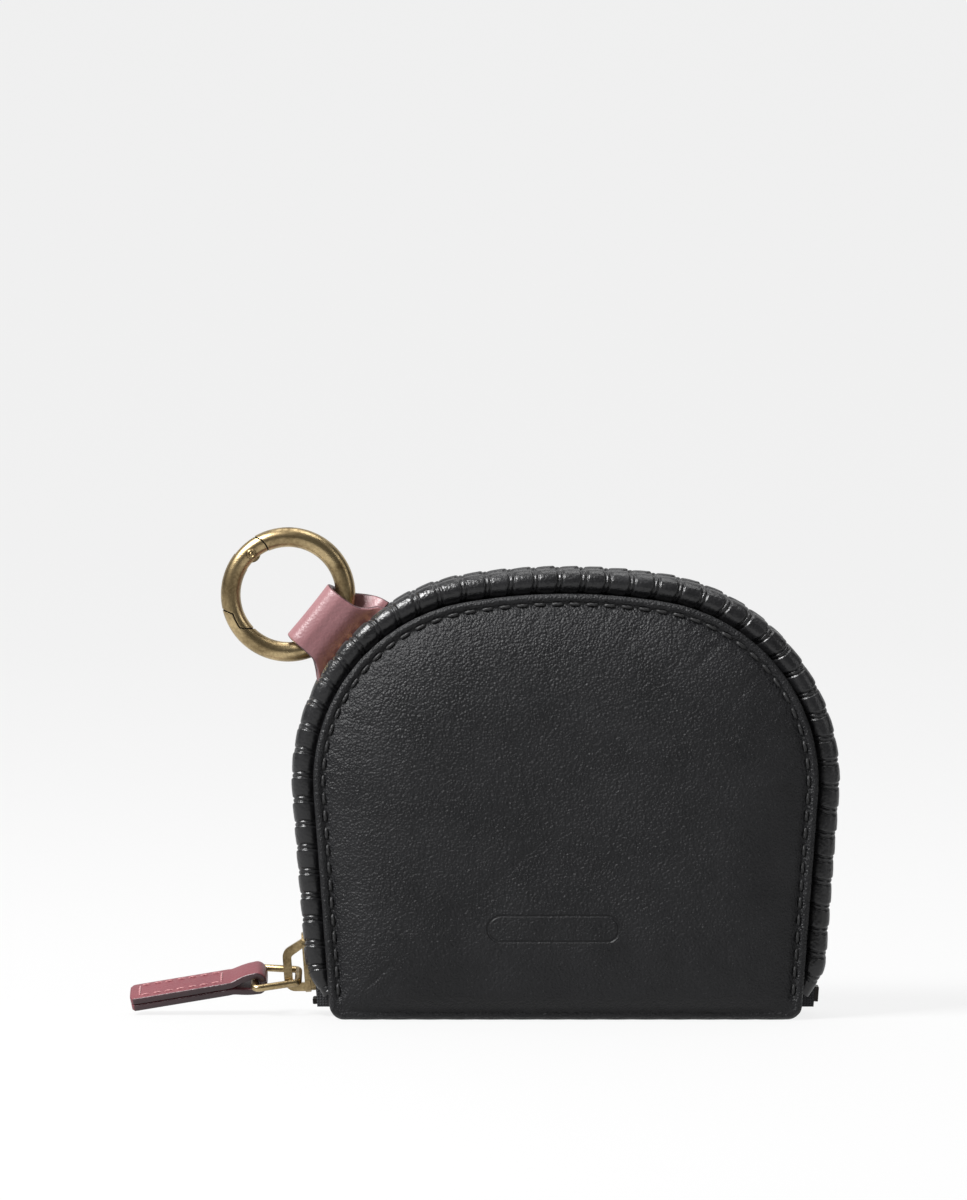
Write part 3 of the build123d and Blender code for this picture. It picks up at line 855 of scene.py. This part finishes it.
def make_piping(name, side):
    """A sleeve wrapped round a cord: overlapping folds, each with a narrow tucked strip."""
    spots, way, run = piping_line(SLEEVE_STEP)
    length = run[-1]
    wraps = int(round(length / WRAP_PITCH))
    pitch = length / wraps
    uneven = [0.10 * wrinkle((i * 3.1, side * 2.0, 0), 1.0, 2.0) for i in range(wraps + 3)]
    rings = []
    for (x, z), (tx, tz), s in zip(spots, way, run):
        taper = 1 - END_NARROWING * (1 - float(smooth(min(s, length - s), 0, END_REACH)))
        ring = []
        for k in range(SLEEVE_COLUMNS):
            a = 2 * math.pi * k / SLEEVE_COLUMNS
            out, depth = math.cos(a), math.sin(a)
            slant = SLANT_DEPTH * depth + SLANT_OUT * out
            drift = 0.06 * wrinkle((s * 0.9, k * 0.2, side), 3.0, 4.0)
            place = s / pitch + slant / pitch + drift
            cell = math.floor(place)
            swell = sleeve_height((place - cell) * pitch, pitch)
            radius = PIPING_R - SLEEVE_IN + swell + 0.5 * uneven[cell % len(uneven)]
            radius = radius * taper + 0.03 * wrinkle((x + 3 * out, 3 * depth, z), 1.2, 6.0)
            ring.append((
                x + tz * radius * out,
                side * (PIPING_Y + radius * depth),
                z - tx * radius * out,
            ))
        rings.append(ring)
    return closed_piece(name, *loft(rings), [SLEEVE])


front_piping = make_piping("front_piping_sleeve", -1)
back_piping = make_piping("back_piping_sleeve", 1)


# ---------------------------------------------------------------- loop tab

def spline(points, count):
    """Even-parameter Catmull-Rom samples through rows of numbers."""
    rows = np.array(points, float)
    padded = np.vstack([2 * rows[0] - rows[1], rows, 2 * rows[-1] - rows[-2]])
    made = []
    for t in np.linspace(0, len(rows) - 1.0001, count):
        i = int(t)
        f = t - i
        a, b, c, d = padded[i:i + 4]
        made.append(0.5 * (2 * b + (c - a) * f + (2 * a - 5 * b + 4 * c - d) * f * f
                           + (3 * b - a - 3 * c + d) * f**3))
    return np.array(made)


# In from the ring's centre, towards the back, half width, shift across.
TAB_STRIP = [
    (16.9, -1.25, 10.3, 0.0), (15.6, -1.45, 9.6, 0.0), (14.0, -2.15, 8.0, 0.0),
    (12.0, -2.85, 6.9, 0.0), (9.8, -2.98, 6.65, 0.0), (8.2, -2.94, 6.6, 0.0),
    (6.45, -2.10, 6.6, 0.0), (5.55, 0.0, 6.65, 0.2), (6.45, 2.10, 6.7, 0.4),
    (8.2, 2.94, 6.9, 0.6), (9.8, 2.98, 7.4, 0.9), (12.0, 2.7, 8.4, 1.3),
    (14.0, 1.6, 9.6, 1.2), (15.6, 0.35, 10.6, 0.8), (16.9, 0.1, 11.2, 0.4),
]


def tab_ring(row, way):
    """One cross-section of the tab: (reach, depth, half width, shift) and its direction."""
    reach, depth, half, shift = row
    wx, wy = way
    inward, across = np.array(TAB_IN), np.array(TAB_ACROSS)
    back = np.array((0.0, 1.0, 0.0))
    ring = []
    for c, t in dense_section(half, TAB_T / 2, TAB_ROUND, 12):
        bow = TAB_BOW * (1 - (c / half) ** 2)
        p = np.array(RING_CENTRE) + inward * (reach + wy * (t + bow))
        ring.append(tuple(p + back * (depth - wx * (t + bow)) + across * (c + shift)))
    return ring


def make_tab():
    """One strip of leather folded round the ring, with dark painted edges."""
    rows = spline(TAB_STRIP, TAB_ROWS)
    ways = np.gradient(rows[:, :2], axis=0)
    ways /= np.linalg.norm(ways, axis=1)[:, None]
    rings = [tab_ring(row, way) for row, way in zip(rows, ways)]
    verts, faces = loft(rings)
    columns = len(rings[0])
    aside = (np.array(verts) - np.array(RING_CENTRE)) @ np.array(TAB_ACROSS)
    which = np.minimum(np.arange(len(verts)) // columns, len(rows) - 1)
    aside -= rows[which, 3]
    slots = [int(abs(np.mean(aside[list(face)])) > rows[which[face[0]], 2] - EDGE_PAINT)
             for face in faces]
    return closed_piece("loop_tab", verts, faces, [ROSE, ROSE_EDGE], slots)


tab = make_tab()


# ---------------------------------------------------------------- ring's rivet

# The rivet's head, as radius and depth, with a round groove in it.
RIVET_HEAD = ((0.02, 2.24), (0.30, 2.24), (0.36, 2.12), (0.46, 2.12), (0.52, 2.30),
              (0.66, 2.33), (0.80, 2.28), (0.86, 2.16), (0.99, 2.13), (1.0, 2.0))


def make_rivet():
    """The gate's pivot: a shaft with a turned head at both ends."""
    profile = [*RIVET_HEAD, *((r, -y) for r, y in reversed(RIVET_HEAD))]
    rings = [
        [(PIVOT[0] + radius * math.cos(a), PIVOT[1] + depth, PIVOT[2] + radius * math.sin(a))
         for a in np.linspace(0, 2 * math.pi, 33)[:-1]]
        for radius, depth in profile
    ]
    return closed_piece("gate_rivet", *loft(rings), [RIVET_BRASS])


rivet = make_rivet()


def ring_point(radius, angle):
    """A point of the ring's plane, from its centre."""
    a = math.radians(angle)
    return np.array((radius * math.cos(a), radius * math.sin(a)))


def gap_lines():
    """Middle lines of the gaps round the gate: the latch's step, and the pivot's arc."""
    pivot = np.array((PIVOT[0] - RING_CENTRE[0], PIVOT[2] - RING_CENTRE[2]))
    step_r = RING_R + GATE_GAP / 2
    low, high = RING_R - WIRE_R + GAP_SHADE_INSET, RING_R + WIRE_R - GAP_SHADE_INSET

    def swung(reach, start, end, near, far):
        """An arc about the pivot, where it lies between two radii of the ring."""
        a = np.radians(np.linspace(start, end, ARC_SAMPLES))
        spots = pivot + reach * np.stack([np.cos(a), np.sin(a)], 1)
        radius = np.linalg.norm(spots, axis=1)
        return spots[(radius > near) & (radius < far)]

    reach_out = np.linalg.norm(ring_point(RING_R + WIRE_R / 2, LATCH_OUT) - pivot)
    reach_in = np.linalg.norm(ring_point(RING_R - WIRE_R / 2, LATCH_IN) - pivot)
    outer = swung(reach_out + GATE_GAP / 2, 220, 290, step_r, high)
    inner = swung(reach_in + GATE_GAP / 2, 240, 320, low, step_r)
    outer = outer[np.argsort(-np.linalg.norm(outer, axis=1))]
    inner = inner[np.argsort(-np.linalg.norm(inner, axis=1))]
    ends = [math.atan2(p[1], p[0]) % (2 * math.pi) for p in (outer[-1], inner[0])]
    a = np.linspace(ends[0], ends[1], 24)[1:-1]
    middle = step_r * np.stack([np.cos(a), np.sin(a)], 1)
    bearing = math.degrees(math.atan2(pivot[1], pivot[0]))
    hinge = swung(PIVOT_ARC + GATE_GAP / 2, bearing - 180, bearing, low, high)
    return np.vstack([outer, middle, inner]), hinge


def make_gap_shade_strips():
    """Dark strips in the gaps between the ring and its gate: painted shade, seen as dark lines.
    """
    parts = []
    for line in gap_lines():
        line = line[::max(1, len(line) // 40)]
        way = np.gradient(line, axis=0)
        way /= np.linalg.norm(way, axis=1)[:, None]
        rings = []
        for spot, along in zip(line, way):
            aside = np.array((-along[1], along[0])) * (GATE_GAP / 2 - GAP_SHADE_CLEAR)
            off = np.linalg.norm(spot) - RING_R
            half = max(0.1, math.sqrt(max(0.0, WIRE_R**2 - off**2)) - GAP_SHADE_DEPTH_CLEAR)
            ring = []
            for across, depth in ((1, -half), (1, half), (-1, half), (-1, -half)):
                x, z = spot + across * aside
                ring.append((RING_CENTRE[0] + x, RING_CENTRE[1] + depth, RING_CENTRE[2] + z))
            rings.append(ring)
        parts.append(loft(rings))
    return closed_piece("gate_gap_painted_shade", *merge(parts), [STOP_BLACK_AND_GAP_SHADE])


# Painted shade: dark strips in the gaps round the gate.
gap_shade_strips = make_gap_shade_strips()


# ---------------------------------------------------------------- puller

def puller_axes():
    """The puller's own axes: along it, across it, and out of its top face."""
    wide = np.array(PULLER_WIDE)
    roll, drop = math.radians(PULLER_ROLL), math.radians(PULLER_DROP)
    lift = np.array((0.0, -math.sin(roll), math.cos(roll)))
    along = np.array((-math.cos(drop), 0, 0)) - lift * math.sin(drop)
    return along, wide, np.cross(wide, along)


def puller_half(u):
    """Half width and half thickness of the puller at a distance past the bar."""
    width = 3.0 + 0.5 * float(smooth(u, 1.0, 6.0))
    tip = PULLER_L - u
    if tip < PULLER_TIP:
        width -= PULLER_TIP - math.sqrt(max(0.0, 1 - (1 - tip) ** 2))
    near = max(0.0, 1 - (u / BAR_REACH) ** 2) if u > 0 else 1.0
    return width, PULLER_T / 2 + BAR_BULGE * near**1.4


def puller_path():
    """Middle line of one layer, as (along, height): round the bar, then out to the tip."""
    path = []
    for k in range(9):
        a = math.radians(90 - 90 * k / 8)
        path.append((-1.2 * math.sin(a) - PULLER_OVERLAP, 1.72 * math.cos(a)))
    for k in range(1, 46):
        u = -PULLER_OVERLAP + (PULLER_L + PULLER_OVERLAP) * k / 45
        path.append((u, puller_half(u)[1] - PULLER_LAYER))
    return np.array(path)


def puller_layer(layer):
    """One layer, 1 on top and -1 below: its points, its faces and their material slots."""
    along, wide, top = puller_axes()
    bar = np.array(PULLER_BAR)
    path = puller_path()
    way = np.gradient(path, axis=0)
    way /= np.linalg.norm(way, axis=1)[:, None]
    halves = [puller_half(max(u, -1.0))[0] for u, _ in path]
    rings = []
    for (u, h), (wu, wh), half in zip(path, way, halves):
        ring = []
        for c, t in dense_section(half, PULLER_LAYER, PULLER_ROUND, 8):
            off = t + (PULLER_BOW * (1 - (c / half) ** 2) if t > 0 else 0)
            p = bar + along * (u - wh * off) + top * layer * (h + wu * off)
            ring.append(tuple(p + wide * c))
        rings.append(ring)
    verts, faces = loft(rings)
    columns, last = len(rings[0]), len(path) - 1
    aside = np.abs((np.array(verts) - bar) @ wide)
    slots = []
    for face in faces:
        row = min(face[0] // columns, last)
        slots.append(int(np.mean(aside[list(face)]) > halves[row] - 0.2 or row >= last))
    return verts, faces, slots


def make_puller():
    """Two layers of leather, glued back to back and folded round the link's bar."""
    layers = [puller_layer(1), puller_layer(-1)]
    verts, faces = merge([layer[:2] for layer in layers])
    slots = [slot for layer in layers for slot in layer[2]]
    return closed_piece("puller_strap", verts, faces, [BURGUNDY, BURGUNDY_EDGE], slots)


def dash(start, end, out, radius, dive):
    """A rounded stitch between two points that dives in at both ends."""
    start, end, out = np.array(start), np.array(end), np.array(out)
    way = (end - start) / np.linalg.norm(end - start)
    side = np.cross(way, out)
    rings = []
    for k in range(7):
        t = -1 + k / 3
        middle = start + (end - start) * (t + 1) / 2 + out * (radius * 0.3 - dive * t**4)
        size = radius * math.sqrt(max(0.05, 1 - 0.7 * t**4))
        rings.append([
            tuple(middle + side * size * math.cos(a) + out * size * math.sin(a))
            for a in np.linspace(0, 2 * math.pi, 9)[:-1]
        ])
    return loft(rings)


def make_puller_threads():
    """Two rows of stitches on each face, closed by a cross stitch at both ends."""
    along, wide, top = puller_axes()
    bar = np.array(PULLER_BAR)
    first, last, row = PULLER_FIRST, PULLER_L - PULLER_LAST, PULLER_ROW
    pitch = (last - first) / PULLER_STITCHES
    level = PULLER_T / 2 + 0.03
    parts = []
    for out in (top, -top):
        for side in (-1, 1):
            for k in range(PULLER_STITCHES):
                u = first + pitch * k
                a = bar + along * (u + 0.25) + wide * side * row + out * level
                b = bar + along * (u + pitch - 0.25) + wide * side * row + out * level
                parts.append(dash(a, b, out, PULLER_THREAD_R, 0.22))
        for u in (first, last):
            a = bar + along * u - wide * row + out * (level + 0.06)
            b = bar + along * u + wide * row + out * (level + 0.06)
            parts.append(dash(a, b, out, PULLER_THREAD_R, 0.2))
    return closed_piece("puller_topstitching", *merge(parts), [PINK_THREAD])


puller = make_puller()
puller_threads = make_puller_threads()


# ---------------------------------------------------------------- linings and pocket

# A lining's rows of points: their size as a share of its rim, and their depth.
LINING_ROWS = (
    (1.0, 3.85), (1.0, 5.6), (1.0, 7.4), (0.998, 8.7), (0.99, 9.2), (0.97, 9.3), (0.9, 9.3),
    (0.8, 9.3), (0.68, 9.3), (0.55, 9.3), (0.4, 9.3), (0.25, 9.3), (0.1, 9.3),
)
LINING_HUB = 9.25
LINING_T = 0.45
RIM_INSET = 3.3
RIM_FOOT = 3.4

# Slip pocket: half width, foot, height, depth and cloth.
POCKET_HALF = 42
POCKET_FOOT = 4.6
POCKET_H = 47.2
POCKET_Y = 8.72
POCKET_T = 0.4


def thicken(obj, thickness):
    """Gives a sheet a thickness in millimetres, to both sides."""
    thick = obj.modifiers.new("thickness", "SOLIDIFY")
    thick.thickness = thickness * MM
    thick.offset = 0


def make_lining(name, side):
    """A cloth tray: a slack sheet behind the padding and a rim that runs to the zip."""
    rim, _, _ = open_arch(PIPING, -RIM_INSET, RIM_FOOT, 1.4)
    foot = np.linspace(rim[-1][0], rim[0][0], 66)[1:-1]
    rim = np.vstack([rim, np.stack([foot, np.full(len(foot), RIM_FOOT)], 1)])
    verts = []
    for share, depth in LINING_ROWS:
        for spot in rim:
            px, pz = PANEL_MIDDLE + (spot - PANEL_MIDDLE) * share
            slack = 0.22 * wrinkle((px, depth, pz), 9.0, 8.0) if share < 0.97 else 0
            verts.append((px, side * (depth - abs(slack)), pz))
    columns = len(rim)
    faces = grid_faces(len(LINING_ROWS), columns)
    faces += fan((len(LINING_ROWS) - 1) * columns, columns, len(verts))
    verts.append((PANEL_MIDDLE[0], side * LINING_HUB, PANEL_MIDDLE[1]))
    lining = new_piece(name, verts, faces, [LINING])
    thicken(lining, LINING_T)
    return lining


def make_pocket():
    """A slip pocket with a turned top hem that stands a little open."""
    columns, rows = 61, 40
    verts = []
    for r in range(rows):
        z = POCKET_FOOT + POCKET_H * r / (rows - 1)
        for c in range(columns):
            x = -POCKET_HALF + 2 * POCKET_HALF * c / (columns - 1)
            middle = 1 - (x / POCKET_HALF) ** 2
            hem = 0.35 * float(smooth(z, 48.6, 49.1))
            slack = 0.5 * middle * (z / 52) ** 3 + 0.1 * wrinkle((x, 0, z), 8.0, 2.0)
            sag = 0.8 * middle * float(smooth(z, 40, 52))
            verts.append((x, POCKET_Y - slack - hem, z - sag))
    faces = grid_faces(rows, columns, closed=False)
    pocket = new_piece("pocket_cloth", verts, faces, [LINING])
    thicken(pocket, POCKET_T)
    return pocket


front_cloth = make_lining("front_lining_cloth", -1)
back_cloth = make_lining("back_lining_cloth", 1)
pocket = make_pocket()


# ---------------------------------------------------------------- frame, nodes and bodies

def finish_node(node, material, bevel=0.0):
    """Gives a CAD node its material, and softens its edges."""
    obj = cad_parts[node]
    for index in range(len(obj.data.materials)):
        obj.data.materials[index] = material
    if bevel:
        weld = obj.modifiers.new("weld", "WELD")
        weld.merge_threshold = 0.005 * MM
        edge = obj.modifiers.new("edge", "BEVEL")
        edge.width = bevel * MM
        edge.segments = 2
        edge.limit_method = "ANGLE"
        edge.harden_normals = True


for node in ("slider_body", "slider_bridge", "pull_link"):
    finish_node(node, ANTIQUE)
for node in ("ring_body", "ring_gate"):
    finish_node(node, ANTIQUE, 0.14)
for node in ("front_zip_teeth", "back_zip_teeth"):
    finish_node(node, ZIP_BRASS)
for node in ("front_top_stop", "back_top_stop", "bottom_stop"):
    finish_node(node, STOP_BLACK_AND_GAP_SHADE, 0.25)
for node in ("front_zip_tape", "back_zip_tape"):
    finish_node(node, TAPE)
finish_node("spine_lining", LINING, 0.15)
finish_node("gate_spring", STEEL)

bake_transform(front_fold)

for piece, body, slot, nodes in (
    (front_panel, "front", "cover_leather", ("front_cover", "front_padding")),
    (back_panel, "back", "cover_leather", ("back_cover", "back_padding")),
    (spine, "back", "cover_leather", ("spine",)),
    (front_threads, "front", "black_thread", ("front_stitching",)),
    (back_threads, "back", "black_thread", ("back_stitching",)),
    (front_piping, "front", "piping_leather", ("front_piping_wrap", "front_piping_cord")),
    (back_piping, "back", "piping_leather", ("back_piping_wrap", "back_piping_cord")),
    (puller, "puller", "puller_leather", ("puller_leather",)),
    (puller_threads, "puller", "puller_thread", ("puller_stitching",)),
    (rivet, "ring", "antique_brass", ("gate_pin",)),
    # painted shade strips in the gate's gaps
    (gap_shade_strips, "ring", "antique_brass", ()),
    (front_cloth, "front", "lining", ("front_lining",)),
    (back_cloth, "back", "lining", ("back_lining",)),
    (pocket, "back", "lining", ("slip_pocket",)),
):
    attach(piece, body)
    if nodes:
        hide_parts(*nodes)

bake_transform(tab)
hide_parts("ring_tab", "ring_tab_root")


# ---------------------------------------------------------------- stage, light and camera

def make_stage():
    """A pale floor that curves up into the backdrop."""
    profile = [(-0.8, 0.0), (-0.3, 0.0), (0.3, 0.0), (1.2, 0.0)]
    for k in range(1, 13):
        a = math.radians(90 * k / 12)
        profile.append((1.2 + 0.8 * math.sin(a), 0.8 - 0.8 * math.cos(a)))
    profile.append((2.0, 3.5))
    verts = []
    for y, z in profile:
        for x in (-3.5, -1.2, 1.2, 3.5):
            verts.append((x / MM, y / MM, z / MM))
    faces = grid_faces(len(profile), 4, closed=False)
    look = Look("pale_floor", grey(0.06), 0.9, specular=0.1)
    look.sockets["Emission Color"].default_value = (1, 1, 1, 1)
    look.sockets["Emission Strength"].default_value = FLOOR_GLOW
    floor = new_piece("floor", verts, faces, [look.material])


def add_light(name, place, aim, size, power):
    """A white rectangular light: places and sizes in metres, power in watts."""
    light = bpy.data.lights.new(name, "AREA")
    light.shape = "RECTANGLE"
    light.size, light.size_y = size
    light.energy = power
    obj = bpy.data.objects.new(name, light)
    obj.location = place
    way = Vector(aim) - Vector(place)
    obj.rotation_euler = way.to_track_quat("-Z", "Y").to_euler()
    bpy.context.scene.collection.objects.link(obj)


def make_camera():
    """The photo's viewpoint: nearly level, from straight in front."""
    aim = Vector(CAMERA_AIM) * MM
    angle = math.radians(CAMERA_ELEVATION)
    way = Vector((0, -math.cos(angle), math.sin(angle)))
    camera = bpy.data.cameras.new("camera")
    camera.sensor_fit = "VERTICAL"
    camera.sensor_height = SENSOR_H
    camera.lens = SENSOR_H * CAMERA_DISTANCE / FIELD_H
    camera.clip_start = 0.05
    obj = bpy.data.objects.new("camera", camera)
    obj.location = aim + way * CAMERA_DISTANCE * MM
    obj.rotation_euler = (-way).to_track_quat("-Z", "Y").to_euler()
    bpy.context.scene.collection.objects.link(obj)
    bpy.context.scene.camera = obj


make_stage()
add_light("key", (-0.60, -0.38, 0.80), (-0.03, 0, 0.07), (0.42, 0.30), 24.0)
add_light("top", (0.1, 0.10, 1.1), (0, 0, 0.04), (0.9, 0.5), 6.0)
add_light("fill", (0.95, -0.50, 0.5), (0, 0, 0.04), (0.3, 0.7), 1.8)
make_camera()

world = bpy.data.worlds.new("studio")
world.use_nodes = True
world.node_tree.nodes["Background"].inputs["Color"].default_value = (1, 1, 1, 1)
world.node_tree.nodes["Background"].inputs["Strength"].default_value = WORLD_GLOW
bpy.context.scene.world = world
bpy.context.scene.view_settings.view_transform = "Standard"
